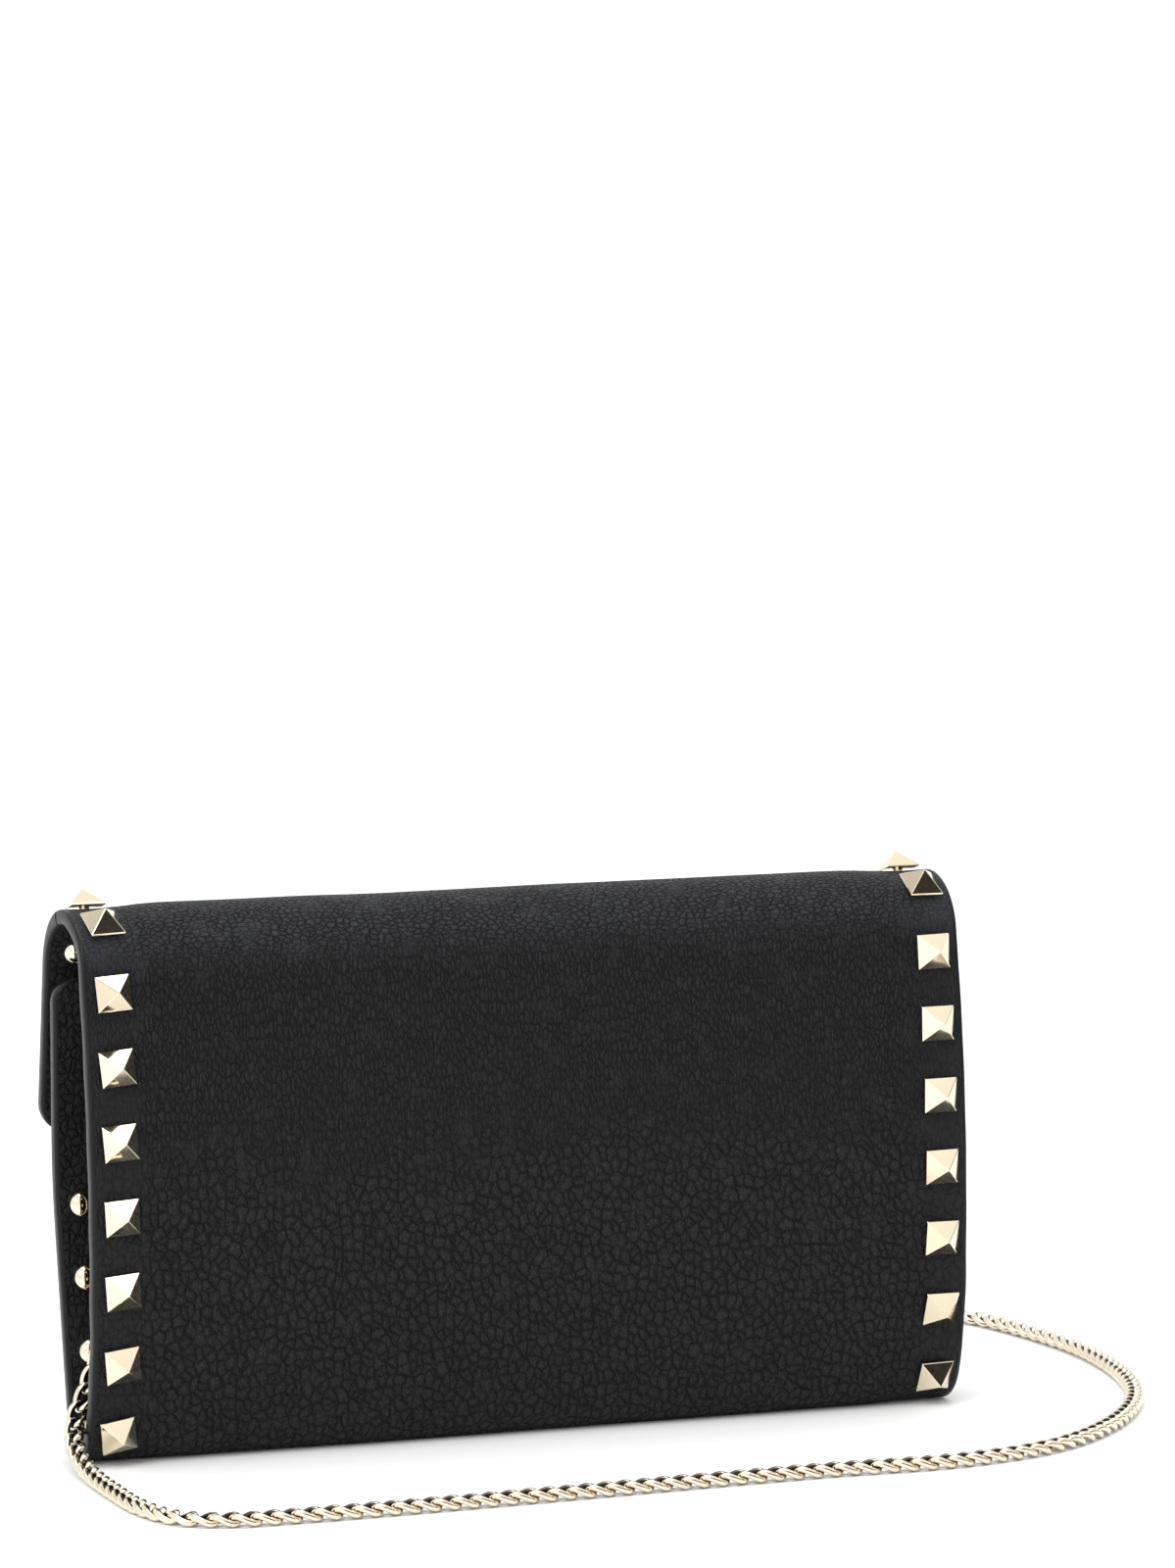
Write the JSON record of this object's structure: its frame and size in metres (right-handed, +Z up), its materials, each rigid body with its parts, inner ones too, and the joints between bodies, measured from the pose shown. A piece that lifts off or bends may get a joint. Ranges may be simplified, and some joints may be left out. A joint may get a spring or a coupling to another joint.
{
  "type": "chain wallet",
  "caption": "Flap wallet of grained leather with pyramid studs down its sides and a curb chain from end to end, standing on its lower fold.",
  "frame": {"origin": "centre of the footprint of the wallet without its chain, on the surface it stands on", "axes": "+Z up, +X across the width towards the end seen at the right from the flap side, -Y towards the flap side, +Y towards the plain studded panel"},
  "size_m": [0.245, 0.1898, 0.1136],
  "materials": {
    "outer_leather": "pebbled, semi-matt",
    "lining_leather": "fine grain, matt",
    "gold_metal": "polished, pale gold",
    "snap_metal": "satin, pale gold",
    "zip_tape": "woven, matt"
  },
  "bodies": {
    "wallet": {"card_panel_short": "lining_leather", "card_panel_tall": "lining_leather", "chain": "gold_metal", "chain_tab_left": "lining_leather", "chain_tab_right": "lining_leather", "clasp_left": "gold_metal", "clasp_right": "gold_metal", "d_ring_left": "gold_metal", "d_ring_right": "gold_metal", "end_ring_left": "gold_metal", "end_ring_right": "gold_metal", "gusset_left": "lining_leather", "gusset_right": "lining_leather", "pocket_back_wall": "lining_leather", "pocket_front_wall": "lining_leather", "shell_body": "outer_leather", "snap_female": "snap_metal", "stud_back_left_1": "gold_metal", "stud_back_left_2": "gold_metal", "stud_back_left_3": "gold_metal", "stud_back_left_4": "gold_metal", "stud_back_left_5": "gold_metal", "stud_back_left_6": "gold_metal", "stud_back_left_7": "gold_metal", "stud_back_left_8": "gold_metal", "stud_back_right_1": "gold_metal", "stud_back_right_2": "gold_metal", "stud_back_right_3": "gold_metal", "stud_back_right_4": "gold_metal", "stud_back_right_5": "gold_metal", "stud_back_right_6": "gold_metal", "stud_back_right_7": "gold_metal", "stud_back_right_8": "gold_metal", "stud_front_left_1": "gold_metal", "stud_front_left_2": "gold_metal", "stud_front_left_3": "gold_metal", "stud_front_left_4": "gold_metal", "stud_front_right_1": "gold_metal", "stud_front_right_2": "gold_metal", "stud_front_right_3": "gold_metal", "stud_front_right_4": "gold_metal", "zip_tape_back": "zip_tape", "zip_tape_front": "zip_tape", "zip_teeth_back": "gold_metal", "zip_teeth_front": "gold_metal"},
    "fold": {"flap_fold": "outer_leather", "stud_fold_left_1": "gold_metal", "stud_fold_right_1": "gold_metal"},
    "flap": {"flap": "outer_leather", "stud_flap_left_1": "gold_metal", "stud_flap_left_2": "gold_metal", "stud_flap_left_3": "gold_metal", "stud_flap_right_1": "gold_metal", "stud_flap_right_2": "gold_metal", "stud_flap_right_3": "gold_metal", "snap_male": "snap_metal"},
    "slider": {"zip_slider": "gold_metal"},
    "puller": {"zip_puller": "gold_metal"},
    "gate_right": {"clasp_gate_right": "gold_metal"},
    "gate_left": {"clasp_gate_left": "gold_metal"}
  },
  "joints": [
    {"name": "fold_roll", "type": "hinge", "parent": "wallet", "child": "fold", "pos_m": [0, 0.00108, 0.10991], "axis": [-1, 0, 0], "range_deg": [0, 85]},
    {"name": "flap_roll", "type": "hinge", "parent": "fold", "child": "flap", "pos_m": [0, -0.01007, 0.10655], "axis": [-1, 0, 0], "range_deg": [0, 85]},
    {"name": "zip_slide", "type": "slide", "parent": "wallet", "child": "slider", "axis": [-1, 0, 0], "range_m": [0, 0.112]},
    {"name": "puller_swing", "type": "hinge", "parent": "slider", "child": "puller", "pos_m": [0.056, 0.00042, 0.08845], "axis": [0, 0.998, 0.0628], "range_deg": [0, 175]},
    {"name": "gate_right_open", "type": "hinge", "parent": "wallet", "child": "gate_right", "pos_m": [0.0835, 0.00866, 0.07792], "axis": [1, 0, 0], "range_deg": [0, 24], "stiffness_Nm_per_rad": 0.002, "springref_deg": -17.19},
    {"name": "gate_left_open", "type": "hinge", "parent": "wallet", "child": "gate_left", "pos_m": [-0.0835, 0.00866, 0.07792], "axis": [1, 0, 0], "range_deg": [0, 24], "stiffness_Nm_per_rad": 0.002, "springref_deg": -17.19}
  ],
  "couplings": [
    {"joint": "fold_roll", "follows": "flap_roll", "ratio": 1}
  ]
}
